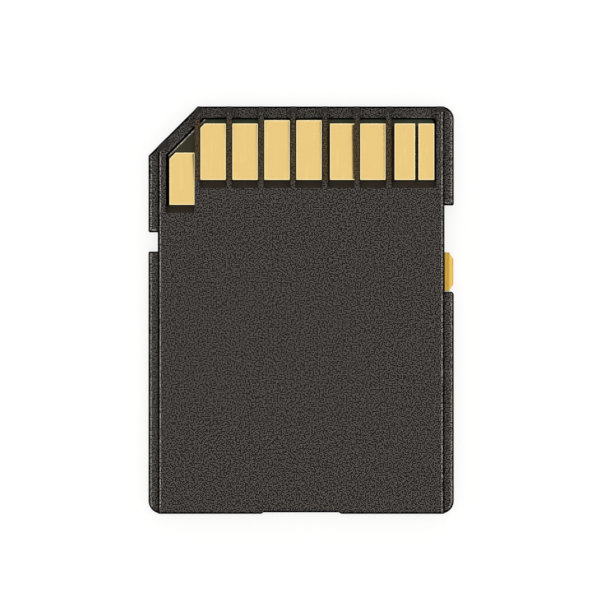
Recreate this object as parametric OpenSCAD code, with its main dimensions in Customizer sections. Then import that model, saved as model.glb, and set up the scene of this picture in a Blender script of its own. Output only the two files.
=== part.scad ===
// Flash memory card with nine contacts and a sliding write-protect switch.
// It lies on its label face. The contact edge is at +Y, the contacts face +Z and the switch is at +X.

/* [Card] */
// Width across the side rails
card_w = 24; // [23.5:0.25:25]
// Length from the contact edge to the trailing edge
card_l = 32; // [31.5:0.5:36]
// Thickness over the raised back
card_t = 2.1; // [2.05:0.05:2.4]
// Length of each leg of the cut corner
corner_cut = 3.875; // [3.5:0.125:4.25]
// Radius of the three round corners
corner_r = 1; // [0.6:0.1:1.2]
// Bevel along the outer edges
edge_bevel = 0.15; // [0.08:0.01:0.18]

/* [Side rails] */
// Width of each side rail
rail_w = 0.75; // [0.65:0.05:0.85]
// Thickness of the side rails
rail_t = 1.4; // [1.3:0.05:1.5]
// Distance from the contact edge to the left notch
notch_start = 9.89; // [9:0.1:12]
// Length of the left notch
notch_l = 1.51; // [1:0.1:3]
// Radius of the rail's corners at the left notch
notch_r = 0.12; // [0.05:0.01:0.2]
// Length of the shallow grip in the trailing edge
grip_l = 6.3; // [4:0.1:9]
// Depth of the grip
grip_depth = 0.12; // [0.05:0.01:0.3]
// Length of the grip's slope at each end
grip_slope = 0.2; // [0.1:0.05:0.5]

/* [Write-protect switch] */
// Distance from the contact edge to the switch's cut-out
switch_start = 7.77; // [7.5:0.1:9]
// Length of the cut-out
switch_l = 6.78; // [6.5:0.1:8]
// Radius of the rail's corner at the cut-out's front end
switch_front_r = 0.12; // [0.05:0.01:0.25]
// Radius of the rail's corner at the cut-out's rear end
switch_rear_r = 0.27; // [0.1:0.01:0.4]
// Length of the slider's tab
tab_l = 3.05; // [2.6:0.05:3.4]
// Length of the tab's outer face
tab_face_l = 2; // [1.4:0.1:2.2]
// Width of the tab's full-length inner part
tab_inner_w = 0.36; // [0.3:0.01:0.4]
// Width of the tab up to its shoulders
tab_shoulder_w = 0.44; // [0.42:0.01:0.48]
// Length of the tab at its shoulders
tab_shoulder_l = 2.64; // [2.4:0.02:2.8]
// Length of the slider's neck, which passes through the side wall
neck_l = 1.8; // [1.2:0.1:2.2]
// Thickness of the neck
neck_t = 0.28; // [0.2:0.02:0.3]
// Length of the slider's foot inside the side wall
foot_l = 2.6; // [2:0.1:3]
// Width of the foot
foot_w = 0.47; // [0.4:0.01:0.5]
// Side wall left between the cut-out and the foot
switch_wall = 0.4; // [0.35:0.01:0.45]
// Play of the slider at each end of its travel
end_play = 0.03; // [0.02:0.01:0.2]
// Play of the slider across its travel
slider_play = 0.04; // [0.02:0.01:0.06]
// Play over and under the tab
tab_play = 0.1; // [0.05:0.01:0.15]
// Width of the groove along the top of the tab
groove_w = 0.12; // [0.08:0.01:0.16]
// Depth of the groove
groove_depth = 0.1; // [0.05:0.01:0.2]
// Distance from the tab's inner side to the groove
groove_start = 0.15; // [0.1:0.01:0.2]

/* [Shells] */
// Height of the seam between the covers
seam_z = 0.7; // [0.65:0.05:0.8]
// Floor of the front cover
front_floor = 0.42; // [0.38:0.01:0.46]
// Room for the chips between the floor and the board
chip_room = 0.64; // [0.6:0.01:0.7]
// Depth of the label's recess
label_depth = 0.1; // [0.05:0.01:0.15]
// Rim between the card's outline and the label's recess
label_rim = 1.2; // [1:0.1:2]
// Distance from the contact edge to the label's recess
label_start = 3.4; // [2.5:0.1:5]
// Roof of the rear cover
rear_roof = 0.4; // [0.3:0.02:0.5]
// Wall between the board and the bottom of a side notch
side_wall = 0.6; // [0.5:0.01:0.65]
// Wall at the trailing edge
end_wall = 1; // [0.9:0.05:1.3]
// Radius of the corners of the board's room
room_r = 0.3; // [0.2:0.05:0.5]
// Width of the lip along the contact edge and the cut corner
lip_w = 0.9; // [0.75:0.01:0.95]
// Width of the rear cover's ledge on the board
ledge_w = 0.8; // [0.6:0.05:1]
// Width of the front cover's tongue, which stands inside the rear cover
tongue_w = 0.55; // [0.5:0.01:0.65]
// Gap between the tongue and the rear cover
tongue_gap = 0.05; // [0.03:0.01:0.08]

/* [Contact windows] */
// Pitch of the ribs and contacts
contact_pitch = 2.51; // [2.45:0.01:2.52]
// Distance from the left side to the middle of the first rib
first_rib = 3.83; // [3.75:0.01:3.95]
// Width of a rib
rib_w = 0.4; // [0.3:0.05:0.45]
// Gap between the ribs and the plane of the contacts
rib_gap = 0.03; // [0.02:0.01:0.05]
// Wall between a side rail and the windows
window_wall = 0.62; // [0.61:0.01:0.7]
// Distance from the contact edge to the rear of the front windows
window_end = 5.88; // [5.8:0.02:6.2]
// Distance from the contact edge to the rear of the corner window
corner_window_end = 7.84; // [7.7:0.02:8.2]
// Length of the slope behind a window
slope_l = 0.55; // [0.4:0.05:0.8]
// Width of the seat behind a slope
sill_w = 0.7; // [0.5:0.05:1]
// Length and height of the bevel on the front ends of the ribs
lead_in = 0.5; // [0.3:0.05:0.6]

/* [Contacts] */
// Thickness of a contact's plating
pad_t = 0.04; // [0.03:0.01:0.05]
// Width of a contact between two ribs
pad_w = 2; // [1.9:0.01:2.04]
// Gap between a contact and the rear of its window
pad_end_gap = 0.1; // [0.04:0.01:0.12]
// Distance from the contact edge to the front of a contact
pad_start = 1.35; // [1.3:0.01:1.6]
// Distance from the contact edge to the front of a supply contact
supply_start = 1.09; // [1.05:0.01:1.3]
// Distance from the contact edge to the front of the corner contact
corner_pad_start = 3.64; // [3.5:0.02:4]
// Distance from the fifth window's middle to its contact's middle
clock_shift = 0.14; // [0:0.01:0.15]
// Width of the corner contact
corner_pad_w = 2; // [1.9:0.01:2.1]
// Gap between the corner window's left side and its contact
corner_pad_gap = 0.28; // [0.2:0.01:0.3]
// Width of the eighth contact as a share of the seventh's
last_pad_share = 0.77; // [0.6:0.01:1]
// Gap between the last rib and the seventh contact
narrow_pad_gap = 0.25; // [0.2:0.01:0.35]
// Gap between the seventh contact and the eighth
pad_split = 0.27; // [0.2:0.01:0.35]
// Gap between the eighth contact and the window's right side
last_pad_gap = 0.17; // [0.1:0.01:0.25]
// Gap between the board's cut corner and the contacts
pad_corner_gap = 0.26; // [0.1:0.01:0.3]

/* [Circuit board] */
// Thickness of the board
board_t = 0.3; // [0.26:0.01:0.34]
// Gap between the board and the walls at its ends
board_gap = 0.14; // [0.1:0.01:0.16]
// Gap between the board and the side walls
board_side_gap = 0.22; // [0.15:0.01:0.3]
// Gap between the board and the lip at the cut corner
board_corner_gap = 0.18; // [0.15:0.01:0.4]

/* [Flash memory] */
// Length of the package between its leads
flash_w = 15.4; // [14:0.1:15.6]
// Width of the package along the lead rows
flash_l = 12; // [12:0.1:12.6]
// Thickness of the package
flash_t = 0.52; // [0.45:0.01:0.54]
// Gap between the package and the board
flash_standoff = 0.05; // [0.03:0.01:0.06]
// Distance from the trailing edge to the package
flash_start = 2.4; // [2.1:0.1:3]
// Number of leads on each side
lead_count = 24; // [16:1:24]
// Pitch of the leads
lead_pitch = 0.5; // [0.45:0.01:0.5]
// Width of a lead
lead_w = 0.2; // [0.16:0.01:0.24]
// Thickness of a lead
lead_t = 0.12; // [0.08:0.01:0.14]
// Reach of a lead from the package
lead_reach = 0.8; // [0.7:0.05:1]
// Length of a lead's shoulder
lead_shoulder = 0.25; // [0.2:0.01:0.3]

/* [Controller and small parts] */
// Side of the controller's square package
controller_w = 7; // [6:0.1:7.5]
// Thickness of the controller's package
controller_t = 0.55; // [0.45:0.01:0.59]
// Length of the mark corner cut off the controller
controller_mark = 0.5; // [0.3:0.1:1]
// Distance from the flash memory to the controller
controller_gap = 2.8; // [2:0.1:3]
// Distance from the card's middle to the controller's middle, towards the left
controller_offset = 3.2; // [2.8:0.1:4]
// Length of a capacitor or resistor
chip_l = 1; // [0.8:0.1:1.2]
// Width of a capacitor or resistor
chip_w = 0.5; // [0.4:0.05:0.6]
// Thickness of a capacitor
capacitor_t = 0.5; // [0.4:0.05:0.55]
// Thickness of a resistor
resistor_t = 0.35; // [0.3:0.05:0.4]
// Length of the end cap on a capacitor or resistor
cap_l = 0.25; // [0.15:0.05:0.3]
// Height of the end caps above the body between them
cap_rise = 0.02; // [0.01:0.01:0.04]
// Pitch of the rows of small parts
chip_pitch = 1.6; // [1.4:0.1:1.8]
// Gap between the controller and the first column of small parts, and between the columns
chip_gap = 1.6; // [1:0.1:2]
// Width of the cross rib that carries the board between the chips
cross_rib_w = 0.4; // [0.3:0.05:0.6]

/* [Hidden] */
$fn = 48;
rib_count = 7;
capacitor_count = 4;
resistor_count = 4;
contact_count = rib_count + 2;

// Colours
shell_grey = [0.25, 0.235, 0.222];
switch_yellow = [0.90, 0.72, 0.32];
board_green = [0.14, 0.2, 0.13];
contact_gold = [0.92, 0.79, 0.5];
package_black = [0.1, 0.1, 0.11];
lead_tin = [0.75, 0.76, 0.78];
capacitor_tan = [0.62, 0.5, 0.36];

// Overrun of a cutter past the face that it opens
over = 1;
half_w = card_w / 2;
half_l = card_l / 2;

// Levels above the label face
board_bottom = front_floor + chip_room;
board_top = board_bottom + board_t;
contact_z = board_top + pad_t;
roof_z = card_t - rear_roof;
rib_bottom = contact_z + rib_gap;

// Distances in from the card's outline
pocket_side = rail_w + side_wall;
board_side = pocket_side + board_side_gap;
board_front = lip_w + board_gap;
board_rear = end_wall + board_gap;
board_corner = lip_w + board_corner_gap;
tongue_side = pocket_side + tongue_gap;

// Middle of the notch
notch_y = half_l - notch_start - notch_l / 2;

// Switch, measured across and along its cut-out
switch_y = half_l - switch_start - switch_l / 2;
wall_face = half_w - rail_w;
foot_pocket_x = wall_face - switch_wall;
foot_x = foot_pocket_x - slider_play - foot_w;
tab_x = wall_face + slider_play;
tab_w = rail_w - 2 * slider_play;
travel = switch_l - tab_l - 2 * end_play;
slider_y = switch_y - travel / 2;
tab_bottom = tab_play;
tab_top = rail_t - tab_play;
neck_z = front_floor + chip_room / 2;
foot_t = chip_room - 2 * slider_play;
slot_t = neck_t + 2 * slider_play;

// Windows
window_x = half_w - rail_w - window_wall;
window_y = half_l - window_end;
corner_window_y = half_l - corner_window_end;

// Middle of rib i, counted from 0 at the left
function rib_x(i) = first_rib - half_w + i * contact_pitch;
last_window_x = rib_x(rib_count - 1) + rib_w / 2;

// Contacts by number: one in each window from the left, two in the last window, and the corner contact last
supply_pads = [3, 4];
clock_pad = 5;
split_pad = rib_count;
last_pad = split_pad + 1;
corner_pad = last_pad + 1;
split_pad_w = (window_x - last_window_x - narrow_pad_gap - pad_split - last_pad_gap) / (1 + last_pad_share);

// Left and right sides of contact i
function pad_left(i) =
    i == corner_pad ? corner_pad_gap - window_x
    : i == split_pad ? last_window_x + narrow_pad_gap
    : i == last_pad ? pad_right(split_pad) + pad_split
    : rib_x(i - 1) + (contact_pitch - pad_w) / 2 + (i == clock_pad ? clock_shift : 0);
function pad_right(i) =
    i == corner_pad ? pad_left(i) + corner_pad_w
    : i == split_pad ? pad_left(i) + split_pad_w
    : i == last_pad ? window_x - last_pad_gap
    : pad_left(i) + pad_w;

// Distances from the contact edge to the front and rear of contact i
function pad_front(i) =
    i == corner_pad ? corner_pad_start
    : len(search(i, supply_pads)) > 0 ? supply_start
    : pad_start;
function pad_rear(i) = (i == corner_pad ? corner_window_end : window_end) - pad_end_gap;

// Chips under the board, from the trailing edge towards the contact edge
flash_z = board_bottom - flash_standoff - flash_t;
flash_y = flash_start + flash_l / 2 - half_l;
controller_y = flash_y + (flash_l + controller_w) / 2 + controller_gap;
cross_rib_y = flash_y + (flash_l + controller_gap) / 2;

// What lies outside a round corner whose tip is at the origin and which points to +X and +Y
module round_tip(r) {
    difference() {
        translate([-r, -r]) square(2 * r);
        translate([-r, -r]) circle(r);
    }
}

// Outline of the card, moved in by a distance of its own on each side
module plan(side = 0, front = 0, rear = 0, corner = 0, r = corner_r) {
    w = card_w - 2 * side;
    l = card_l - front - rear;
    leg = corner_cut + corner * sqrt(2) - side - front;
    translate([0, (rear - front) / 2]) difference() {
        square([w, l], center = true);
        translate([-w / 2, l / 2]) rotate(45) square(leg * sqrt(2), center = true);
        translate([w / 2, l / 2]) round_tip(r);
        translate([w / 2, -l / 2]) mirror([0, 1]) round_tip(r);
        translate([-w / 2, -l / 2]) rotate(180) round_tip(r);
    }
}

// Opening in the right side, from its middle, with the rail's corners round at its mouth
module side_opening(l, depth, front_r, rear_r) {
    translate([half_w - depth, -l / 2]) square([depth + over, l]);
    translate([half_w, -l / 2]) round_tip(rear_r);
    translate([half_w, l / 2]) mirror([0, 1]) round_tip(front_r);
}

// Outline of the card with its notches and the grip
module card_plan() {
    difference() {
        plan();
        translate([0, switch_y]) side_opening(switch_l, rail_w, switch_front_r, switch_rear_r);
        translate([0, notch_y]) mirror([1, 0]) side_opening(notch_l, rail_w, notch_r, notch_r);
        translate([0, -half_l]) polygon([
            [-grip_l / 2, -over], [-grip_l / 2, 0], [-grip_l / 2 + grip_slope, grip_depth],
            [grip_l / 2 - grip_slope, grip_depth], [grip_l / 2, 0], [grip_l / 2, -over]
        ]);
    }
}

// Bar that bevels an edge along Y at the origin, of a solid that lies towards -X and -Z
module bevel_bar(l, b = edge_bevel) {
    translate([-b, 0, 0]) rotate([0, 45, 0]) translate([0, -l / 2, 0]) cube([2 * b, l, 4 * b]);
}

// Ring quarter that bevels a round corner with its centre at the origin
module bevel_ring(r, b = edge_bevel) {
    rotate_extrude(angle = 90)
        polygon([[r - b, 0], [r + b, -2 * b], [r + b, 2 * b], [r - b, 2 * b]]);
}

// Bevel along the trailing edge and inside its grip
module trailing_bevel(z) {
    translate([0, -half_l, z]) rotate(-90) bevel_bar(card_w + over);
    translate([0, grip_depth - half_l, z]) rotate(-90) bevel_bar(grip_l - 2 * grip_slope);
}

// Bevels across a rail's top at both ends of an opening in the right side
module mouth_bevel(l) {
    for (s = [-1, 1]) translate([half_w, s * l / 2, rail_t]) rotate(-90 * s) bevel_bar(2 * rail_w + over);
}

// Bevel round the top of a solid with the card's outline
module outline_bevel(z) {
    x = half_w - corner_r;
    y = half_l - corner_r;
    for (s = [0, 1]) mirror([s, 0, 0]) {
        translate([half_w, 0, z]) bevel_bar(card_l + over);
        translate([x, -y, z]) rotate(-90) bevel_ring(corner_r);
    }
    translate([0, half_l, z]) rotate(90) bevel_bar(card_w + over);
    trailing_bevel(z);
    translate([x, y, z]) bevel_ring(corner_r);
    translate([corner_cut / 2 - half_w, half_l - corner_cut / 2, z])
        rotate(135) bevel_bar(2 * corner_cut);
}

// Room of the foot as it slides, between two heights
module foot_pocket(z0, z1) {
    l = foot_l + travel + 2 * end_play;
    translate([foot_x - slider_play, switch_y - l / 2, z0])
        cube([foot_w + 2 * slider_play, l, z1 - z0]);
}

// Slot in the side wall for the neck as it slides
module neck_slot() {
    l = neck_l + travel + 2 * end_play;
    translate([foot_pocket_x - over / 4, switch_y - l / 2, neck_z - slot_t / 2])
        cube([switch_wall + over / 2, l, slot_t]);
}

// Label-side cover: floor, rim and the tongue that carries the board
module front_cover() {
    inner = tongue_side + tongue_w;
    color(shell_grey) difference() {
        union() {
            linear_extrude(seam_z) card_plan();
            linear_extrude(board_bottom) plan(
                tongue_side, lip_w + tongue_gap, end_wall + tongue_gap, lip_w + tongue_gap, room_r
            );
        }
        translate([0, 0, front_floor]) linear_extrude(card_t) plan(
            inner, lip_w + tongue_gap + tongue_w, end_wall + tongue_gap + tongue_w,
            lip_w + tongue_gap + tongue_w, room_r
        );
        translate([0, 0, -over]) linear_extrude(label_depth + over)
            plan(label_rim, label_start, label_rim, label_rim, corner_r / 2);
        foot_pocket(front_floor, card_t);
        neck_slot();
        mirror([0, 0, 1]) outline_bevel(0);
    }
    color(shell_grey) translate([tongue_side + tongue_w / 2 - half_w, cross_rib_y, label_depth])
        cube([card_w - 2 * tongue_side - tongue_w, cross_rib_w, board_bottom - label_depth]);
}

// Room for the board, the ribs' undersides and the space behind the windows
module board_room() {
    ledge = pocket_side + ledge_w;
    translate([0, 0, seam_z - over]) linear_extrude(board_top - seam_z + over)
        plan(pocket_side, lip_w, end_wall, lip_w, room_r);
    intersection() {
        translate([0, 0, seam_z]) linear_extrude(rib_bottom - seam_z)
            plan(pocket_side, lip_w, end_wall, lip_w, room_r);
        union() {
            translate([-window_x, window_y, 0]) cube([2 * window_x, window_end, card_t]);
            translate([-window_x, corner_window_y, 0])
                cube([rib_x(0) - rib_w / 2 + window_x, corner_window_end, card_t]);
        }
    }
    for (part = [
        [ledge - half_w, half_w - ledge, corner_window_end],
        [rib_x(0) + rib_w / 2 + sill_w, half_w - ledge, window_end]
    ]) {
        y0 = end_wall + ledge_w - half_l;
        y1 = half_l - part[2] - slope_l - sill_w;
        translate([part[0], y0, seam_z]) cube([part[1] - part[0], y1 - y0, roof_z - seam_z]);
    }
}

// Window from x0 to x1 with a slope behind it, open over the lip to the contact edge
module window(x0, x1, end) {
    y = half_l - end;
    translate([x0, 0, 0]) rotate([90, 0, 90]) linear_extrude(x1 - x0) polygon([
        [y, contact_z], [y - slope_l, card_t], [y - slope_l, card_t + over],
        [half_l + over, card_t + over], [half_l + over, contact_z - edge_bevel - over],
        [half_l - edge_bevel, contact_z]
    ]);
}

// Wedge along X that bevels the front ends of the ribs and side walls
module lead_in_wedge() {
    rotate([90, 0, 90]) linear_extrude(2 * card_w, center = true) polygon([
        [-lead_in, card_t], [over, card_t - lead_in - over], [over, card_t + over],
        [-lead_in, card_t + over]
    ]);
}

// Contact-side cover: rails, raised back, windows, ribs and lip
module rear_cover() {
    color(shell_grey) difference() {
        union() {
            difference() {
                translate([0, 0, seam_z]) linear_extrude(rail_t - seam_z) card_plan();
                outline_bevel(rail_t);
                translate([0, switch_y]) mouth_bevel(switch_l);
                translate([0, notch_y]) mirror([1, 0]) mouth_bevel(notch_l);
            }
            translate([0, 0, seam_z]) linear_extrude(card_t - seam_z) intersection() {
                card_plan();
                square([2 * wall_face, card_l], center = true);
            }
        }
        board_room();
        window(-window_x, rib_x(0) - rib_w / 2, corner_window_end);
        for (i = [1 : rib_count - 1]) window(rib_x(i - 1) + rib_w / 2, rib_x(i) - rib_w / 2, window_end);
        window(last_window_x, window_x, window_end);
        translate([0, half_l, 0]) lead_in_wedge();
        translate([-half_w, half_l - corner_cut, 0]) rotate(45) lead_in_wedge();
        foot_pocket(seam_z - over, board_bottom);
        neck_slot();
        for (s = [0, 1]) mirror([s, 0, 0]) translate([wall_face, 0, card_t]) bevel_bar(card_l + over);
        trailing_bevel(card_t);
    }
}

// Switch slider, from its middle: outer tab, neck through the wall, and foot inside
module write_protect_slider() {
    color(switch_yellow) translate([0, slider_y, 0]) {
        difference() {
            translate([tab_x, 0, tab_bottom]) linear_extrude(tab_top - tab_bottom) polygon([
                [0, -tab_l / 2], [tab_inner_w, -tab_l / 2], [tab_shoulder_w, -tab_shoulder_l / 2],
                [tab_w, -tab_face_l / 2], [tab_w, tab_face_l / 2],
                [tab_shoulder_w, tab_shoulder_l / 2], [tab_inner_w, tab_l / 2], [0, tab_l / 2]
            ]);
            translate([tab_x + groove_start, -tab_l, tab_top - groove_depth])
                cube([groove_w, 2 * tab_l, over]);
            translate([tab_x + tab_w, 0, tab_top]) bevel_bar(2 * tab_l);
            translate([tab_x + tab_w, 0, tab_bottom]) mirror([0, 0, 1]) bevel_bar(2 * tab_l);
        }
        translate([foot_x, -neck_l / 2, neck_z - neck_t / 2])
            cube([tab_x + tab_inner_w / 2 - foot_x, neck_l, neck_t]);
        translate([foot_x, -foot_l / 2, front_floor + slider_play]) cube([foot_w, foot_l, foot_t]);
    }
}

// Board that carries the contacts on top and the chips underneath
module circuit_board() {
    color(board_green) translate([0, 0, board_bottom]) linear_extrude(board_t)
        plan(board_side, board_front, board_rear, board_corner, room_r);
}

// Gold contact i on the board, cut off along the board's cut corner
module contact_pad(i) {
    length = pad_rear(i) - pad_front(i);
    color(contact_gold) translate([0, 0, board_top]) linear_extrude(pad_t) intersection() {
        translate([pad_left(i), half_l - pad_rear(i)]) square([pad_right(i) - pad_left(i), length]);
        plan(0, 0, 0, board_corner + pad_corner_gap);
    }
}

// Square package with one corner cut off as its mark
module controller_chip() {
    h = controller_w / 2;
    color(package_black) translate([
        -controller_offset, controller_y, board_bottom - controller_t
    ]) linear_extrude(controller_t) polygon([
        [-h, -h], [h, -h], [h, h], [controller_mark - h, h], [-h, h - controller_mark]
    ]);
}

// Thin package between two rows of leads
module flash_memory_chip() {
    color(package_black) translate([-flash_w / 2, flash_y - flash_l / 2, flash_z])
        cube([flash_w, flash_l, flash_t]);
}

// Gull-wing lead that leaves the package at the origin towards +X and ends under the board
module gull_wing_lead() {
    middle = flash_z + flash_t / 2 - lead_t / 2;
    rotate([90, 0, 0]) linear_extrude(lead_w, center = true) polygon([
        [0, middle], [lead_shoulder + lead_t, middle],
        [lead_shoulder + lead_t, board_bottom - lead_t], [lead_reach, board_bottom - lead_t],
        [lead_reach, board_bottom], [lead_shoulder, board_bottom],
        [lead_shoulder, middle + lead_t], [0, middle + lead_t]
    ]);
}

// Both rows of leads
module flash_memory_leads() {
    color(lead_tin) for (side = [0, 1], i = [0 : lead_count - 1]) mirror([side, 0, 0])
        translate([flash_w / 2, flash_y + (i - (lead_count - 1) / 2) * lead_pitch, 0]) gull_wing_lead();
}

// Small chip part under the board beside the controller: a body between two end caps, t thick
module chip_part(column, row, count, t) {
    x = controller_w / 2 - controller_offset + (column + 1) * chip_gap + (column + 0.5) * chip_l;
    translate([x, controller_y + (row - (count + 1) / 2) * chip_pitch, board_bottom - t]) {
        translate([-chip_l / 2, -chip_w / 2, 0]) cube([cap_l, chip_w, t]);
        translate([chip_l / 2 - cap_l, -chip_w / 2, 0]) cube([cap_l, chip_w, t]);
        translate([cap_l - chip_l / 2, cap_rise - chip_w / 2, cap_rise])
            cube([chip_l - 2 * cap_l, chip_w - 2 * cap_rise, t - 2 * cap_rise]);
    }
}

// Capacitor i in the first column beside the controller
module capacitor(i) {
    color(capacitor_tan) chip_part(0, i, capacitor_count, capacitor_t);
}

// Resistor i in the second column
module resistor(i) {
    color(package_black) chip_part(1, i, resistor_count, resistor_t);
}

front_cover();
rear_cover();
write_protect_slider();
circuit_board();
for (i = [1 : contact_count]) contact_pad(i);
controller_chip();
flash_memory_chip();
flash_memory_leads();
for (i = [1 : capacitor_count]) capacitor(i);
for (i = [1 : resistor_count]) resistor(i);
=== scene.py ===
"""Looks of a flash memory card: its finishes, its rounded pieces, the studio round it and the camera."""

import logging
import math
from collections.abc import Callable, Iterator
from contextlib import contextmanager
from dataclasses import dataclass, field
from enum import Enum
from typing import Any

import bpy
from mathutils import Matrix, Vector


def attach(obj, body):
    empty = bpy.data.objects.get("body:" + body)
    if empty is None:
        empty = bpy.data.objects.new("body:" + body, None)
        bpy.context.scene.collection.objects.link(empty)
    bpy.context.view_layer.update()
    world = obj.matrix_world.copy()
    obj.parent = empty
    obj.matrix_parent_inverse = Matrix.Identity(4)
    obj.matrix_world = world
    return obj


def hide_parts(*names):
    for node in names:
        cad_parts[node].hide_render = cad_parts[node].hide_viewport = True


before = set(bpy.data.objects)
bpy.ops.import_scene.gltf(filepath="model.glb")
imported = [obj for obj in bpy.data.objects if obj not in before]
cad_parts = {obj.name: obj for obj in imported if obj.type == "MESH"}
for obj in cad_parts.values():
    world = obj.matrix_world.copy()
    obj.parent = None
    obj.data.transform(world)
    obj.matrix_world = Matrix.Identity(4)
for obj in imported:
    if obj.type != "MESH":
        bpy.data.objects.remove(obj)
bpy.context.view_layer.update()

log = logging.getLogger("memory_card")

MM = 0.001
CARD_BODY = "card"
SLIDER_BODY = "slider"

Colour = tuple[float, float, float]
Point = tuple[float, float, float]
Pair = tuple[float, float]
Socket = bpy.types.NodeSocket
Object = bpy.types.Object

WHITE: Colour = (1.0, 1.0, 1.0)
FLAT_COSINE = 0.99


class Slot(Enum):
    """Material slots of the record, one for each kind of new piece."""

    SHELL = "shell_plastic"
    SWITCH = "switch_plastic"
    BOARD = "board_laminate"
    CONTACT = "contact_gold"


class Side(Enum):
    """Sides of the card that a strip light stands on, as a direction in plan."""

    LEFT = (-1.0, 0.0)
    RIGHT = (1.0, 0.0)
    CONTACT_EDGE = (0.0, 1.0)
    TRAILING_EDGE = (0.0, -1.0)


def srgb(red: int, green: int, blue: int) -> Colour:
    """Turns a colour as a screen shows it into linear light.

    Args:
        red: Red, 0 to 255.
        green: Green, 0 to 255.
        blue: Blue, 0 to 255.

    Returns:
        The three linear values, 0 to 1.
    """

    def linear(level: int) -> float:
        """Returns one linear value."""
        share = level / 255
        return share / 12.92 if share <= 0.04045 else ((share + 0.055) / 1.055) ** 2.4

    return linear(red), linear(green), linear(blue)


class Graph:
    """Node tree of one material or world, built from its output backwards."""

    NOISE_ROUGHNESS = 0.6

    def __init__(self, owner: bpy.types.Material | bpy.types.World) -> None:
        """Empties the owner's node tree.

        Args:
            owner: Material or world that the tree belongs to.
        """
        owner.use_nodes = True
        self.tree = owner.node_tree
        self.tree.nodes.clear()

    def add(self, kind: str, inputs: dict[str | int, Any] | None = None, **settings: Any) -> bpy.types.Node:
        """Adds a node.

        Args:
            kind: Blender's name of the node type, without its ShaderNode prefix.
            inputs: Value or linked socket of each input, by its name or number.
            settings: The node's own properties.

        Returns:
            The node.
        """
        node = self.tree.nodes.new("ShaderNode" + kind)
        for name, value in settings.items():
            setattr(node, name, value)
        for name, value in (inputs or {}).items():
            socket = node.inputs[name]
            if isinstance(value, Socket):
                self.tree.links.new(value, socket)
            elif socket.type == "RGBA":
                socket.default_value = (*value, 1.0)
            else:
                socket.default_value = value
        return node

    def noise(self, scale_mm: float, detail: float = 2.0, stretch: Point = (1.0, 1.0, 1.0)) -> Socket:
        """Adds a noise pattern on object coordinates.

        Args:
            scale_mm: Size of its features in millimetres.
            detail: Levels of finer detail.
            stretch: Scale of the pattern along each axis.

        Returns:
            The socket of its value, about 0.3 to 0.7.
        """
        place = self.add("TexCoord").outputs["Object"]
        scaled = self.add("Mapping", {"Vector": place, "Scale": stretch}).outputs["Vector"]
        inputs = {"Vector": scaled, "Scale": 1 / (scale_mm * MM), "Detail": detail}
        inputs["Roughness"] = self.NOISE_ROUGHNESS
        return self.add("TexNoise", inputs).outputs["Fac"]

    def spread(self, value: Socket, low: float, high: float, to_low: float = 0.0,
               to_high: float = 1.0) -> Socket:
        """Maps a value from one range to another and clamps it.

        Args:
            value: Socket to map.
            low: Start of its range.
            high: End of its range.
            to_low: Result at the start.
            to_high: Result at the end.

        Returns:
            The socket of the result.
        """
        inputs = {"Value": value, "From Min": low, "From Max": high, "To Min": to_low, "To Max": to_high}
        return self.add("MapRange", inputs).outputs["Result"]

    def blend(self, share: Socket, first: Any, second: Any) -> Socket:
        """Mixes two colours.

        Args:
            share: Socket of the second colour's share.
            first: Colour or socket at 0.
            second: Colour or socket at 1.

        Returns:
            The socket of the mixed colour.
        """
        mix = self.add("Mix", {0: share, 6: first, 7: second}, data_type="RGBA")
        return mix.outputs[2]

    def product(self, first: Socket, second: Socket) -> Socket:
        """Returns the socket of one value times another."""
        return self.add("Math", {0: first, 1: second}, operation="MULTIPLY").outputs[0]

    def along(self, axis: str) -> Socket:
        """Returns the socket of a point's place along an axis of the object coordinates, in metres."""
        return self.add("SeparateXYZ", {0: self.add("TexCoord").outputs["Object"]}).outputs[axis]

    def larger(self, first: Socket, second: Socket) -> Socket:
        """Returns the socket of the larger of two values."""
        return self.add("Math", {0: first, 1: second}, operation="MAXIMUM").outputs[0]

    def between(self, axis: str, low_mm: float, high_mm: float, fade_mm: float = 0.03) -> Socket:
        """Tells whether a point lies between two places along an axis.

        Args:
            axis: X, Y or Z of the object coordinates.
            low_mm: The lower place.
            high_mm: The higher place.
            fade_mm: Half the width of the soft border.

        Returns:
            The socket, 1 between the places and 0 outside them.
        """
        along = self.along(axis)
        above = self.spread(along, (low_mm - fade_mm) * MM, (low_mm + fade_mm) * MM)
        below = self.spread(along, (high_mm - fade_mm) * MM, (high_mm + fade_mm) * MM, 1.0, 0.0)
        return self.product(above, below)

    def flatness(self) -> Socket:
        """Returns the socket of a face's lean, 1 where it lies flat and 0 where it stands upright."""
        lean = self.add("SeparateXYZ", {0: self.add("TexCoord").outputs["Normal"]}).outputs["Z"]
        return self.add("Math", {0: lean}, operation="ABSOLUTE").outputs[0]

    def bump(self, height: Socket, depth_mm: float, strength: float = 1.0) -> Socket:
        """Turns a height into a bumped normal.

        Args:
            height: Socket of the height, 0 to 1.
            depth_mm: Depth of the relief in millimetres.
            strength: Share of the relief that shows.

        Returns:
            The socket of the normal.
        """
        inputs = {"Height": height, "Distance": depth_mm * MM, "Strength": strength}
        return self.add("Bump", inputs).outputs["Normal"]

    def surface(self, shader: Socket) -> None:
        """Links a shader to the material's output.

        Args:
            shader: Socket of the shader.
        """
        self.add("OutputMaterial", {"Surface": shader})

    def principled(self, **inputs: Any) -> Socket:
        """Adds a principled shader.

        Args:
            inputs: Its inputs, with underscores for spaces.

        Returns:
            The socket of the shader.
        """
        named = {name.replace("_", " "): value for name, value in inputs.items()}
        return self.add("BsdfPrincipled", named).outputs["BSDF"]


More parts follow.
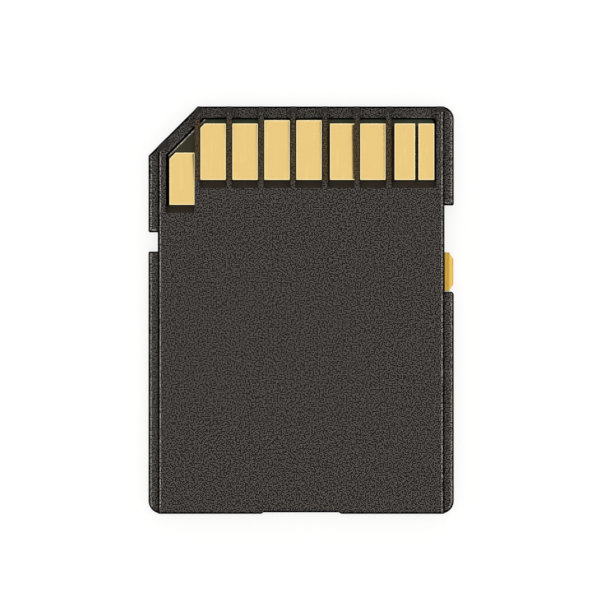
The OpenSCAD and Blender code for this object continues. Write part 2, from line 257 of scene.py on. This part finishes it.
@dataclass(frozen=True)
class Finish:
    """A finish that pieces are dressed in."""

    name: str

    def shade(self, graph: Graph) -> Socket:
        """Returns the finish's shader, built in the graph."""
        raise NotImplementedError

    def material(self) -> bpy.types.Material:
        """Makes the finish's material once.

        Returns:
            The material.
        """
        known = bpy.data.materials.get(self.name)
        if known:
            return known
        made = bpy.data.materials.new(self.name)
        graph = Graph(made)
        graph.surface(self.shade(graph))
        return made


@dataclass(frozen=True)
class SparkErodedPlastic(Finish):
    """Moulded plastic with a spark-eroded grain and a painted highlight where it rolls over an edge.

    The grain is warmer on the ribs, as a painted reflection of the gold contacts, brighter on the rails, as
    painted light against the slab wall's shade, and softer on what stands upright. The cosines
    tell how far a face leans: 1 is flat and 0 upright.
    """

    valley: Colour = srgb(2, 2, 2)
    peak: Colour = srgb(91, 86, 81)
    # Painted light: the rails' grain peaks are brighter to make up for the shade of the slab wall.
    rail_painted_light_peak: Colour = srgb(104, 99, 93)
    # Painted reflection: the ribs' warm grain stands for the gold contacts reflected in them.
    rib_reflection_valley: Colour = srgb(28, 19, 9)
    rib_reflection_peak: Colour = srgb(97, 79, 53)
    wall_valley: Colour = srgb(36, 34, 32)
    wall_peak: Colour = srgb(76, 72, 68)
    # Painted highlight: pale colours for the band along the rounded edges.
    highlight_valley: Colour = srgb(84, 80, 75)
    highlight_peak: Colour = srgb(188, 181, 172)
    grain_mm: float = 0.1
    grain_levels: Pair = (0.455, 0.545)
    wall_levels: Pair = (0.3, 0.7)
    wall_cosines: Pair = (0.5, 0.8)
    relief_mm: float = 0.03
    relief_strength: float = 0.8
    flat_cosines: Pair = (0.988, 0.995)
    highlight_cosines: Pair = (0.93, 0.96)
    back_x_mm: Pair = (-11.23, 11.23)
    rails_z_mm: Pair = (1.3, 1.5)
    ribs_x_mm: Pair = (-8.37, 10.55)
    ribs_y_mm: Pair = (10.1, 14.95)
    ribs_z_mm: Pair = (1.2, 2.2)
    roughness: float = 0.62
    specular: float = 0.12

    def shade(self, graph: Graph) -> Socket:
        """Puts the grain everywhere and a painted highlight on what leans a little.

        Args:
            graph: Node tree to build in.

        Returns:
            The socket of the shader.
        """
        cosine = graph.flatness()
        noise = graph.noise(self.grain_mm, 0.0)
        level = graph.spread(noise, *self.grain_levels)
        flat = graph.spread(cosine, *self.flat_cosines)
        # Mask of the rib tops, which take the painted reflection of the gold.
        ribs = graph.product(graph.between("X", *self.ribs_x_mm), graph.between("Y", *self.ribs_y_mm))
        ribs = graph.product(graph.product(ribs, graph.between("Z", *self.ribs_z_mm)), flat)
        softer = graph.spread(noise, *self.wall_levels)
        wall = graph.blend(softer, self.wall_valley, self.wall_peak)
        valley = graph.blend(ribs, self.valley, self.rib_reflection_valley)
        # Painted light on the rails, which lie below the slab's top and beside its wall.
        beside = graph.blend(graph.between("X", *self.back_x_mm), self.rail_painted_light_peak, self.peak)
        peak = graph.blend(graph.between("Z", *self.rails_z_mm), self.peak, beside)
        top = graph.blend(level, valley, graph.blend(ribs, peak, self.rib_reflection_peak))
        grain = graph.blend(graph.spread(cosine, *self.wall_cosines), wall, top)
        highlight_colour = graph.blend(level, self.highlight_valley, self.highlight_peak)
        # Painted highlight on the faces that lean a little, between flat and steep.
        highlight_share = graph.product(
            graph.spread(cosine, *self.highlight_cosines),
            graph.spread(cosine, *self.flat_cosines, 1.0, 0.0),
        )
        return graph.principled(
            Base_Color=graph.blend(highlight_share, grain, highlight_colour),
            Roughness=self.roughness,
            Specular_IOR_Level=self.specular,
            Normal=graph.bump(level, self.relief_mm, self.relief_strength),
        )


@dataclass(frozen=True)
class PolishedPlastic(Finish):
    """Smooth moulded plastic of one colour, with a faint unevenness."""

    # Painted shade: this dark colour of the sill slopes stands for the shade that they lie in.
    colour: Colour = srgb(38, 31, 26)
    roughness: float = 0.55
    specular: float = 0.15
    ripple_mm: float = 0.6
    ripple_levels: Pair = (0.35, 0.65)
    darkest: float = 0.86
    relief_mm: float = 0.004
    relief_strength: float = 0.3

    def shade(self, graph: Graph) -> Socket:
        """Varies the colour a little over the piece.

        Args:
            graph: Node tree to build in.

        Returns:
            The socket of the shader.
        """
        ripple = graph.noise(self.ripple_mm)
        darker = tuple(level * self.darkest for level in self.colour)
        return graph.principled(
            Base_Color=graph.blend(graph.spread(ripple, *self.ripple_levels), darker, self.colour),
            Roughness=self.roughness,
            Specular_IOR_Level=self.specular,
            Normal=graph.bump(ripple, self.relief_mm, self.relief_strength),
        )


@dataclass(frozen=True)
class SwitchPlastic(Finish):
    """Smooth yellow plastic whose colour across X is painted light, paler towards the outer side, with its
    round edges darker as painted shade.
    """

    # Painted light: the inner colour is brightened against the slab wall's shade, and the outer one is
    # paler still.
    inner: Colour = srgb(252, 201, 70)
    outer: Colour = srgb(255, 213, 102)
    # Painted shade on the round edges, where they lean away from the light.
    edge: Colour = srgb(206, 158, 60)
    span_mm: Pair = (11.35, 11.85)
    edge_shade_cosines: Pair = (0.5, 0.9)
    roughness: float = 0.42
    specular: float = 0.3

    def shade(self, graph: Graph) -> Socket:
        """Blends the painted light over X, then darkens what leans as painted shade.

        Args:
            graph: Node tree to build in.

        Returns:
            The socket of the shader.
        """
        outwards = graph.spread(graph.along("X"), *(x * MM for x in self.span_mm))
        top = graph.blend(outwards, self.inner, self.outer)
        return graph.principled(
            Base_Color=graph.blend(graph.spread(graph.flatness(), *self.edge_shade_cosines), self.edge, top),
            Roughness=self.roughness,
            Specular_IOR_Level=self.specular,
        )


@dataclass(frozen=True)
class GoldPlating(Finish):
    """Gold plating with faint streaks along the contact and a painted highlight along its rim."""

    colour: Colour = srgb(236, 203, 130)
    streak: Colour = srgb(241, 212, 138)
    # Painted highlight: the pale rim colour stands for light caught on the contact's rounded edge.
    rim: Colour = srgb(255, 240, 186)
    streak_mm: float = 0.22
    streak_stretch: Point = (1.0, 0.06, 1.0)
    streak_levels: Pair = (0.5, 0.75)
    cloud_mm: float = 1.6
    cloud_levels: Pair = (0.45, 0.6)
    roughness_levels: Pair = (0.3, 0.7)
    roughness: Pair = (0.14, 0.2)
    relief_mm: float = 0.002
    relief_strength: float = 0.1
    highlight_rim_layer: str = "rim"

    def shade(self, graph: Graph) -> Socket:
        """Streaks the colour along Y and paints a highlight towards the rim.

        Args:
            graph: Node tree to build in.

        Returns:
            The socket of the shader.
        """
        streaks = graph.noise(self.streak_mm, stretch=self.streak_stretch)
        cloud = graph.noise(self.cloud_mm, 1.0)
        strength = graph.product(
            graph.spread(streaks, *self.streak_levels), graph.spread(cloud, *self.cloud_levels)
        )
        plated = graph.blend(strength, self.colour, self.streak)
        # Mask of the painted highlight along the rim.
        edge = graph.add("Attribute", attribute_name=self.highlight_rim_layer).outputs["Fac"]
        return graph.principled(
            Base_Color=graph.blend(edge, plated, self.rim),
            Metallic=1.0,
            Roughness=graph.spread(streaks, *self.roughness_levels, *self.roughness),
            Normal=graph.bump(streaks, self.relief_mm, self.relief_strength),
        )


@dataclass(frozen=True)
class SolderMask(Finish):
    """Solder mask: dark green at the front, olive at the cut corner and nearly black round the contacts as
    painted shade.
    """

    green: Colour = srgb(47, 52, 40)
    olive: Colour = srgb(59, 57, 40)
    # Painted shade: the mask round and between the contacts is coloured nearly black for the shade there.
    black: Colour = srgb(28, 15, 4)
    weave_colour: Colour = srgb(78, 78, 64)
    weave_mm: float = 0.25
    weave_levels: Pair = (0.3, 0.7)
    weave_share: float = 0.12
    contact_end_mm: float = 14.42
    corner_end_mm: float = 12.42
    corner_side_mm: float = -8.3
    board_end_mm: float = 16.0
    roughness: float = 0.4
    specular: float = 0.06
    relief_mm: float = 0.003
    relief_strength: float = 0.3

    def shade(self, graph: Graph) -> Socket:
        """Lets the weave show faintly through the mask.

        Args:
            graph: Node tree to build in.

        Returns:
            The socket of the shader.
        """
        weave = graph.noise(self.weave_mm, 1.0)
        front = graph.between("Y", self.contact_end_mm, self.board_end_mm)
        corner = graph.product(
            graph.between("X", -self.board_end_mm, self.corner_side_mm),
            graph.between("Y", self.corner_end_mm, self.board_end_mm),
        )
        # Painted shade everywhere outside the front strip and the cut corner.
        colour = graph.blend(corner, graph.blend(front, self.black, self.green), self.olive)
        share = graph.spread(weave, *self.weave_levels, 0.0, self.weave_share)
        return graph.principled(
            Base_Color=graph.blend(share, colour, self.weave_colour),
            Roughness=self.roughness,
            Specular_IOR_Level=self.specular,
            Normal=graph.bump(weave, self.relief_mm, self.relief_strength),
        )


@dataclass(frozen=True)
class SpeckledSolid(Finish):
    """A solid colour with a fine speckle, metallic or not, for laminate edges, chips and leads."""

    colour: Colour
    speckle: Colour
    speckle_mm: float = 0.1
    roughness: float = 0.5
    metallic: float = 0.0
    speckle_levels: Pair = (0.4, 0.7)
    relief_mm: float = 0.004
    relief_strength: float = 0.3

    def shade(self, graph: Graph) -> Socket:
        """Speckles the colour.

        Args:
            graph: Node tree to build in.

        Returns:
            The socket of the shader.
        """
        dots = graph.noise(self.speckle_mm)
        return graph.principled(
            Base_Color=graph.blend(graph.spread(dots, *self.speckle_levels), self.colour, self.speckle),
            Roughness=self.roughness,
            Metallic=self.metallic,
            Normal=graph.bump(dots, self.relief_mm, self.relief_strength),
        )


SHELL = SparkErodedPlastic("spark_eroded_plastic")
# Smooth plastic for the slopes behind the windows, darker as painted shade.
SILL_PAINTED_SHADE = PolishedPlastic("polished_plastic_painted_shade")
# Smooth plastic for the ribs' front ends, darker as painted shade of the slope.
LEAD_IN_PAINTED_SHADE = PolishedPlastic("polished_lead_in_painted_shade", srgb(35, 33, 28), roughness=0.5)
# Painted shade: nearly black plastic without specular, for the outline bevels and the shade in gaps.
EDGE = PolishedPlastic("bevel_painted_shade_plastic", srgb(8, 7, 6), roughness=0.8, specular=0.0)
SWITCH = SwitchPlastic("yellow_plastic")
GOLD = GoldPlating("gold_plating")
MASK = SolderMask("solder_mask")
LAMINATE = SpeckledSolid("bare_laminate", srgb(84, 79, 66), srgb(240, 236, 220), speckle_mm=0.16)
RESIN = SpeckledSolid("moulding_resin", srgb(26, 26, 27), srgb(38, 38, 40), speckle_mm=0.08, roughness=0.6)
TIN = SpeckledSolid(
    "tin_plate", srgb(190, 192, 196), srgb(208, 210, 214), speckle_mm=0.2, roughness=0.35, metallic=1.0
)
TAN = SpeckledSolid("tan_ceramic", srgb(148, 118, 84), srgb(170, 140, 104), speckle_mm=0.08, roughness=0.45)
GLAZE = SpeckledSolid("dark_glaze", srgb(24, 24, 26), srgb(34, 34, 38), speckle_mm=0.08, roughness=0.3)


@dataclass(frozen=True)
class Ridge:
    """A convex edge: its middle and the normals of its two faces."""

    middle: Vector
    first: Vector
    second: Vector

    @property
    def angle(self) -> float:
        """Angle between the faces in degrees."""
        return math.degrees(self.first.angle(self.second))

    def borders_flat(self, up: float) -> bool:
        """Tells whether one of the faces lies flat and looks up, or down where up is -1."""
        return max(self.first.z * up, self.second.z * up) > FLAT_COSINE


class Bench:
    """The steps that every modelled piece goes through, in millimetres and degrees."""

    SMOOTH_ANGLE = 35.0
    MERGE_DISTANCE = 0.001
    DISSOLVE_ANGLE = 1.0
    NO_NORMAL = 0.5

    @staticmethod
    def alone(piece: Object) -> None:
        """Makes a piece the only selected one and the active one.

        Args:
            piece: The piece.
        """
        bpy.ops.object.select_all(action="DESELECT")
        piece.select_set(True)
        bpy.context.view_layer.objects.active = piece

    @staticmethod
    @contextmanager
    def editing(piece: Object, mode: str = "VERT") -> Iterator[None]:
        """Holds a piece in edit mode.

        Args:
            piece: The piece.
            mode: What is selected in it: VERT, EDGE or FACE.
        """
        Bench.alone(piece)
        bpy.ops.object.mode_set(mode="EDIT")
        bpy.ops.mesh.select_mode(type=mode)
        yield
        bpy.ops.object.mode_set(mode="OBJECT")

    @staticmethod
    def blank(node: str, name: str) -> Object:
        """Copies a CAD node's mesh as a blank at one unit to the millimetre, merged into flat faces.

        Args:
            node: The CAD node.
            name: Name of the new piece.

        Returns:
            The blank.
        """
        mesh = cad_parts[node].data.copy()
        mesh.transform(Matrix.Scale(1 / MM, 4))
        mesh.materials.clear()
        piece = bpy.data.objects.new(name, mesh)
        bpy.context.scene.collection.objects.link(piece)
        with Bench.editing(piece):
            bpy.ops.mesh.select_all(action="SELECT")
            bpy.ops.mesh.remove_doubles(threshold=Bench.MERGE_DISTANCE)
            bpy.ops.mesh.customdata_custom_splitnormals_clear()
            bpy.ops.mesh.dissolve_limited(angle_limit=math.radians(Bench.DISSOLVE_ANGLE))
        return piece

    @staticmethod
    def pick_faces(piece: Object, wanted: Callable[[Vector, Vector], bool]) -> None:
        """Selects a piece's faces in object mode by their middle and normal.

        Args:
            piece: The piece.
            wanted: Takes a face's middle and normal.
        """
        mesh = piece.data
        mesh.polygons.foreach_set("select", [False] * len(mesh.polygons))
        mesh.edges.foreach_set("select", [False] * len(mesh.edges))
        mesh.vertices.foreach_set("select", [False] * len(mesh.vertices))
        for face in mesh.polygons:
            face.select = wanted(face.center, face.normal)

    @staticmethod
    def weigh_edges(piece: Object, weight: Callable[[Ridge], float]) -> None:
        """Gives each convex edge its bevel weight.

        Args:
            piece: The piece.
            weight: Takes a convex edge and returns its weight.
        """
        mesh = piece.data
        faces: dict[int, list[bpy.types.MeshPolygon]] = {}
        for face in mesh.polygons:
            for loop in face.loop_indices:
                faces.setdefault(mesh.loops[loop].edge_index, []).append(face)
        layer = mesh.attributes.new("bevel_weight_edge", "FLOAT", "EDGE")
        for edge in mesh.edges:
            sides = faces.get(edge.index, [])
            if len(sides) != 2 or min(side.normal.length for side in sides) < Bench.NO_NORMAL:
                continue
            middle = (mesh.vertices[edge.vertices[0]].co + mesh.vertices[edge.vertices[1]].co) / 2
            if (sides[1].center - middle).dot(sides[0].normal) < 0:
                layer.data[edge.index].value = weight(Ridge(middle, sides[0].normal, sides[1].normal))

    @staticmethod
    def round_edges(piece: Object, width: float, segments: int) -> None:
        """Rounds the weighted edges and keeps the flats flat.

        Args:
            piece: The piece.
            width: Distance that the rounding of a full weight reaches from its edge.
            segments: Faces across a rounding.
        """
        bevel = piece.modifiers.new("rounding", "BEVEL")
        bevel.limit_method = "WEIGHT"
        bevel.width = width
        bevel.segments = segments
        bevel.use_clamp_overlap = False
        bevel.loop_slide = False
        Bench.alone(piece)
        bpy.ops.object.modifier_apply(modifier=bevel.name)
        bpy.ops.object.shade_smooth_by_angle(angle=math.radians(Bench.SMOOTH_ANGLE))
        flats = piece.modifiers.new("flats", "WEIGHTED_NORMAL")
        flats.keep_sharp = True
        bpy.ops.object.modifier_apply(modifier=flats.name)

    @staticmethod
    def dress(
        piece: Object, finish: Finish, wanted: Callable[[Vector, Vector], bool] | None = None
    ) -> None:
        """Gives a piece, or the faces that are wanted, a finish.

        Args:
            piece: The piece.
            finish: The finish.
            wanted: Takes a face's middle and normal; every face if it is left out.
        """
        piece.data.materials.append(finish.material())
        number = len(piece.data.materials) - 1
        for face in piece.data.polygons:
            if wanted is None or wanted(face.center, face.normal):
                face.material_index = number

    @staticmethod
    def install(piece: Object, body: str, node: str, slot: Slot) -> None:
        """Brings a piece back to metres and puts it in its node's place.

        Args:
            piece: The piece.
            body: Body that it rides on.
            node: CAD node that it stands for.
            slot: The record's slot for its finish; not used.
        """
        piece.data.transform(Matrix.Scale(MM, 4))
        piece.data.update()
        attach(piece, body)
        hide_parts(node)
        log.info("%s stands for %s with %d faces", piece.name, node, len(piece.data.polygons))


@dataclass
class Covers:
    """The two moulded covers, in millimetres."""

    rounding: float = 0.12
    window_rounding: float = 0.06
    crease_angle: float = 30.0
    segments: int = 4
    seam_z: float = 0.7
    seam_margin: float = 0.5
    rail_z: float = 1.4
    sill_y: float = 10.5
    window_y: float = 8.0
    window_x: float = 10.7
    sill_lean: Pair = (0.5, 0.85)
    front_lean: float = 0.42
    lead_in_lean: float = 0.4
    lead_in_rise: float = 0.02
    # Lean of the outline bevels that are painted nearly black as painted shade.
    bevel_shade_lean: Pair = (0.6, 0.8)
    corner_lip_x: Pair = (-10.628, -8.372)
    corner_line: float = 24.125
    corner_bevel: float = 0.15

    def weight(self, ridge: Ridge) -> float:
        """Weighs an edge of a flat that looks up or down, less inside the windows.

        Args:
            ridge: The edge.

        Returns:
            The bevel weight.
        """
        up = 1 if ridge.middle.z > self.seam_z else -1
        at_seam = abs(ridge.middle.z - self.seam_z) < self.seam_margin
        if ridge.angle < self.crease_angle or not ridge.borders_flat(up) or at_seam:
            return 0.0
        faces = (ridge.first, ridge.second)
        if any(self.is_sill(ridge.middle, normal) for normal in faces):
            return 0.0
        outwards = math.copysign(1.0, ridge.middle.y)
        if up == 1 and any(normal.y * outwards > self.front_lean for normal in faces):
            return 0.0
        inside = ridge.middle.y > self.window_y and abs(ridge.middle.x) < self.window_x
        return self.window_rounding / self.rounding if inside else 1.0

    def is_sill(self, middle: Vector, normal: Vector) -> bool:
        """Tells whether a face is one of the slopes behind the windows."""
        low, high = self.sill_lean
        return normal.y > low and low < normal.z < high and middle.y < self.sill_y

    def is_bevel(self, middle: Vector, normal: Vector) -> bool:
        """Tells whether a face belongs to the bevels round the outline, which are painted nearly black as
        painted shade.
        """
        low, high = self.bevel_shade_lean
        return low < abs(normal.z) < high

    def is_lead_in(self, middle: Vector, normal: Vector) -> bool:
        """Tells whether a face is one of the bevels on the front ends of the ribs.

        Args:
            middle: The face's middle.
            normal: The face's normal.

        Returns:
            Whether it is.
        """
        low, high = self.sill_lean
        leans = normal.y > self.lead_in_lean and low < normal.z < high
        return leans and middle.y > self.sill_y and middle.z > self.rail_z + self.lead_in_rise

    def bevel_corner_lip(self, piece: Object) -> None:
        """Bevels the lip along the cut corner, between its two ribs, with a wedge.

        Args:
            piece: The rear cover's blank.
        """
        start, end = self.corner_lip_x
        y = self.corner_line + start
        reach = self.corner_bevel * math.sqrt(2)
        bpy.ops.mesh.primitive_circle_add(vertices=3, fill_type="NGON")
        wedge = bpy.context.object
        section = [(y - 2 * reach, 1), (y + reach, -2), (y + reach, 1)]
        for vertex, (along, rise) in zip(wedge.data.vertices, section):
            vertex.co = (start, along, self.rail_z + rise * self.corner_bevel)
        wedge.matrix_world = Matrix.Identity(4)
        with Bench.editing(wedge, "FACE"):
            bpy.ops.mesh.select_all(action="SELECT")
            along_lip = {"value": (end - start, end - start, 0.0)}
            bpy.ops.mesh.extrude_region_move(TRANSFORM_OT_translate=along_lip)
            bpy.ops.mesh.select_all(action="SELECT")
            bpy.ops.mesh.normals_make_consistent(inside=False)
        cut = piece.modifiers.new("corner_lip", "BOOLEAN")
        cut.object = wedge
        cut.solver = "EXACT"
        Bench.alone(piece)
        bpy.ops.object.modifier_apply(modifier=cut.name)
        bpy.data.objects.remove(wedge)

    def cover(self, node: str, name: str) -> Object:
        """Rounds one cover's edges.

        Args:
            node: The CAD node.
            name: Name of the new piece.

        Returns:
            The piece, still in millimetres.
        """
        piece = Bench.blank(node, name)
        if node == "rear_cover":
            self.bevel_corner_lip(piece)
        Bench.weigh_edges(piece, self.weight)
        Bench.round_edges(piece, self.rounding, self.segments)
        Bench.dress(piece, SHELL)
        # Painted shade: the outline bevels are painted nearly black.
        Bench.dress(piece, EDGE, self.is_bevel)
        return piece

    def build(self) -> None:
        """Makes both covers."""
        rear = self.cover("rear_cover", "rear_cover_moulding")
        # Painted shade: the slopes behind the windows take a darker colour.
        Bench.dress(rear, SILL_PAINTED_SHADE, self.is_sill)
        # Painted shade: the ribs' front-end slopes take a darker colour.
        Bench.dress(rear, LEAD_IN_PAINTED_SHADE, self.is_lead_in)
        Bench.install(rear, CARD_BODY, "rear_cover", Slot.SHELL)
        front = self.cover("front_cover", "front_cover_moulding")
        # Painted shade: the front cover's faces above the seam, seen through the gaps, are painted nearly
        # black.
        Bench.dress(front, EDGE, lambda middle, normal: middle.z > self.seam_z)
        Bench.install(front, CARD_BODY, "front_cover", Slot.SHELL)


@dataclass
class Switch:
    """The sliding write-protect switch, in millimetres."""

    rounding: float = 0.06
    groove_rounding: float = 0.02
    segments: int = 3
    crease_angle: float = 20.0
    tab_x: float = 11.3
    groove_x: Pair = (11.4, 11.6)

    def weight(self, ridge: Ridge) -> float:
        """Weighs the tab's edges, less along its groove.

        Args:
            ridge: The edge.

        Returns:
            The bevel weight.
        """
        if ridge.middle.x < self.tab_x or ridge.angle < self.crease_angle:
            return 0.0
        low, high = self.groove_x
        return self.groove_rounding / self.rounding if low < ridge.middle.x < high else 1.0

    def build(self) -> None:
        """Makes the slider with round edges."""
        piece = Bench.blank("write_protect_slider", "write_protect_slider_moulding")
        Bench.weigh_edges(piece, self.weight)
        Bench.round_edges(piece, self.rounding, self.segments)
        Bench.dress(piece, SWITCH)
        Bench.install(piece, SLIDER_BODY, "write_protect_slider", Slot.SWITCH)


@dataclass
class Contacts:
    """The gold contacts, in millimetres."""

    count: int = 9
    # Widths of the painted highlight band round each contact and of its fade.
    rim: float = 0.045
    highlight_rim_fade: float = 0.03
    rounding: float = 0.012
    segments: int = 3
    crease_angle: float = 20.0

    def weight(self, ridge: Ridge) -> float:
        """Weighs only the edges round a contact's top."""
        return 1.0 if ridge.borders_flat(1) and ridge.angle > self.crease_angle else 0.0

    def contact(self, number: int) -> None:
        """Makes one contact with a round edge and a painted highlight along its rim.

        Args:
            number: The contact's number.
        """
        node = f"contact_pad_{number}"
        piece = Bench.blank(node, node + "_plating")
        Bench.weigh_edges(piece, self.weight)
        Bench.round_edges(piece, self.rounding, self.segments)
        Bench.pick_faces(piece, lambda middle, normal: normal.z > FLAT_COSINE)
        with Bench.editing(piece, "FACE"):
            bpy.ops.mesh.inset(thickness=self.rim, depth=0.0)
            bpy.ops.mesh.inset(thickness=self.highlight_rim_fade, depth=0.0)
        self.paint_highlight_rim(piece)
        Bench.dress(piece, GOLD)
        Bench.install(piece, CARD_BODY, node, Slot.CONTACT)

    def paint_highlight_rim(self, piece: Object) -> None:
        """Stores the mask of the painted highlight: 1 at the rim's outer points and 0 inside it.

        Args:
            piece: The contact, with its inset face selected.
        """
        inner = {v for face in piece.data.polygons if face.select for v in face.vertices}
        values = [0.0 if v in inner else 1.0 for v in range(len(piece.data.vertices))]
        layer = piece.data.attributes.new(GOLD.highlight_rim_layer, "FLOAT", "POINT")
        layer.data.foreach_set("value", values)

    def build(self) -> None:
        """Makes every contact."""
        for number in range(1, self.count + 1):
            self.contact(number)


@dataclass
class Electronics:
    """The circuit board and what it carries, in millimetres."""

    edge_chamfer: float = 0.09
    segments: int = 2
    cut_lean: float = 0.6
    mask_cosine: float = 0.95
    finishes: dict[str, Finish] = field(default_factory=lambda: {
        "controller_chip": RESIN,
        "flash_memory_chip": RESIN,
        "flash_memory_leads": TIN,
        "capacitor": TAN,
        "resistor": GLAZE,
    })

    def weigh_cut(self, ridge: Ridge) -> float:
        """Weighs only the upper edge of the board's cut corner.

        Args:
            ridge: The edge.

        Returns:
            The bevel weight.
        """
        sides = (ridge.first, ridge.second)
        cut = any(-normal.x > self.cut_lean and normal.y > self.cut_lean for normal in sides)
        return 1.0 if cut and ridge.borders_flat(1) else 0.0

    def board(self) -> None:
        """Makes the board, with bare laminate on its sides and along its cut corner."""
        piece = Bench.blank("circuit_board", "circuit_board_laminate")
        Bench.weigh_edges(piece, self.weigh_cut)
        Bench.round_edges(piece, self.edge_chamfer, self.segments)
        Bench.dress(piece, MASK)
        Bench.dress(piece, LAMINATE, lambda middle, normal: abs(normal.z) < self.mask_cosine)
        Bench.install(piece, CARD_BODY, "circuit_board", Slot.BOARD)

    def build(self) -> None:
        """Makes the board and dresses the chips on it."""
        self.board()
        for node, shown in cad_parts.items():
            finish = next((f for start, f in self.finishes.items() if node.startswith(start)), None)
            if finish:
                shown.data.materials.clear()
                shown.data.materials.append(finish.material())
                log.info("%s dressed in %s", node, finish.name)


@dataclass
class Studio:
    """Floor, lights, world and camera, in metres unless a name says otherwise."""

    image_px: int = 614
    px_per_mm: float = 12.73
    card_centre_px: Pair = (301.15, 310.0)
    camera_height: float = 0.4
    camera_reach: Pair = (0.01, 10.0)
    sensor_mm: float = 36.0
    aim_z: float = 0.0014
    floor_size: float = 6.0
    floor_gap: float = 0.00002
    floor_colour: Colour = (0.8, 0.8, 0.8)
    shown_colour: Colour = (0.26, 0.26, 0.255)
    shown_glow: float = 0.785
    world_level: float = 0.3
    backdrop_rise: Pair = (0.5, 0.75)
    softbox_size: float = 0.8
    softbox_height: float = 0.55
    softbox_level: float = 0.7
    strip_level: float = 5.5
    strip_size: Pair = (0.5, 0.06)
    strip_lean: float = 52.0

    def camera(self) -> None:
        """Puts the camera straight above the card, framed as in the photograph."""
        data = bpy.data.cameras.new("camera")
        data.sensor_width = self.sensor_mm
        view_width = self.image_px / self.px_per_mm * MM
        data.lens = self.sensor_mm * self.camera_height / view_width
        data.clip_start, data.clip_end = self.camera_reach
        camera = bpy.data.objects.new("camera", data)
        bpy.context.scene.collection.objects.link(camera)
        middle = self.image_px / 2
        across = (middle - self.card_centre_px[0]) / self.px_per_mm * MM
        along = (self.card_centre_px[1] - middle) / self.px_per_mm * MM
        camera.location = (across, along, self.aim_z + self.camera_height)
        bpy.context.scene.camera = camera

    def lamp(self, name: str, place: Vector, size: Pair, level: float) -> None:
        """Adds a soft rectangular lamp that faces the card.

        Args:
            name: Its name.
            place: Where it stands.
            size: Its width and length.
            level: How bright its face is, where 1 is as bright as white paper.
        """
        data = bpy.data.lights.new(name, "AREA")
        data.shape = "RECTANGLE"
        data.size, data.size_y = size
        data.energy = level * math.pi * size[0] * size[1]
        lamp = bpy.data.objects.new(name, data)
        lamp.location = place
        lamp.rotation_mode = "QUATERNION"
        lamp.rotation_quaternion = (-place).to_track_quat("-Z", "Y")
        bpy.context.scene.collection.objects.link(lamp)

    def lamps(self) -> None:
        """Adds the softbox overhead and a strip light on each side."""
        overhead = Vector((0.0, 0.0, self.softbox_height))
        self.lamp("softbox", overhead, (self.softbox_size, self.softbox_size), self.softbox_level)
        lean = math.radians(self.strip_lean)
        for side in Side:
            x, y = side.value
            place = Vector((x * math.sin(lean), y * math.sin(lean), math.cos(lean))) * self.softbox_height
            self.lamp("strip_" + side.name.lower(), place, self.strip_size, self.strip_level)

    def white_background(self, graph: Graph) -> Socket:
        """Tells whether a ray comes from the camera, a reflection or glass.

        Args:
            graph: Node tree to build in.

        Returns:
            The socket, 1 for such a ray.
        """
        path = graph.add("LightPath").outputs
        seen = graph.larger(path["Is Camera Ray"], path["Is Glossy Ray"])
        return graph.larger(seen, path["Is Transmission Ray"])

    def world(self) -> None:
        """Lights dimly from all round, and shows white to the camera and, low down, in reflections."""
        world = bpy.data.worlds.new("studio")
        bpy.context.scene.world = world
        graph = Graph(world)
        rise = graph.add("SeparateXYZ", {0: graph.add("TexCoord").outputs["Generated"]}).outputs["Z"]
        beside = graph.spread(rise, *self.backdrop_rise, 1.0, self.world_level)
        path = graph.add("LightPath").outputs
        bounced = graph.larger(path["Is Glossy Ray"], path["Is Transmission Ray"])
        reflected = graph.add("Mix", {0: bounced, 2: self.world_level, 3: beside}).outputs[0]
        level = graph.add("Mix", {0: path["Is Camera Ray"], 2: reflected, 3: 1.0}).outputs[0]
        shader = graph.add("Background", {"Color": WHITE, "Strength": level}).outputs[0]
        graph.add("OutputWorld", {"Surface": shader})

    def floor(self) -> None:
        """Lays the white floor, which still takes the card's shadow."""
        place = (0.0, 0.0, -self.floor_gap)
        bpy.ops.mesh.primitive_plane_add(size=self.floor_size, location=place)
        floor = bpy.context.object
        floor.name = "floor"
        material = bpy.data.materials.new("studio_white")
        graph = Graph(material)
        paint = graph.add("BsdfDiffuse", {"Color": self.floor_colour}).outputs[0]
        veiled = graph.add("BsdfDiffuse", {"Color": self.shown_colour}).outputs[0]
        glow = graph.add("Emission", {"Color": WHITE, "Strength": self.shown_glow}).outputs[0]
        seen = graph.add("AddShader", {0: veiled, 1: glow}).outputs[0]
        shown = self.white_background(graph)
        graph.surface(graph.add("MixShader", {0: shown, 1: paint, 2: seen}).outputs[0])
        floor.data.materials.append(material)

    def build(self) -> None:
        """Sets up the whole studio."""
        bpy.context.scene.view_settings.view_transform = "Standard"
        self.camera()
        self.world()
        self.lamps()
        self.floor()
        log.info("studio ready, %.1f px to the millimetre", self.px_per_mm)


def main() -> None:
    """Builds the studio and every piece in order."""
    logging.basicConfig(level=logging.INFO, format="%(name)s: %(message)s")
    for group in (Studio(), Covers(), Switch(), Contacts(), Electronics()):
        group.build()


if __name__ == "__main__":
    main()
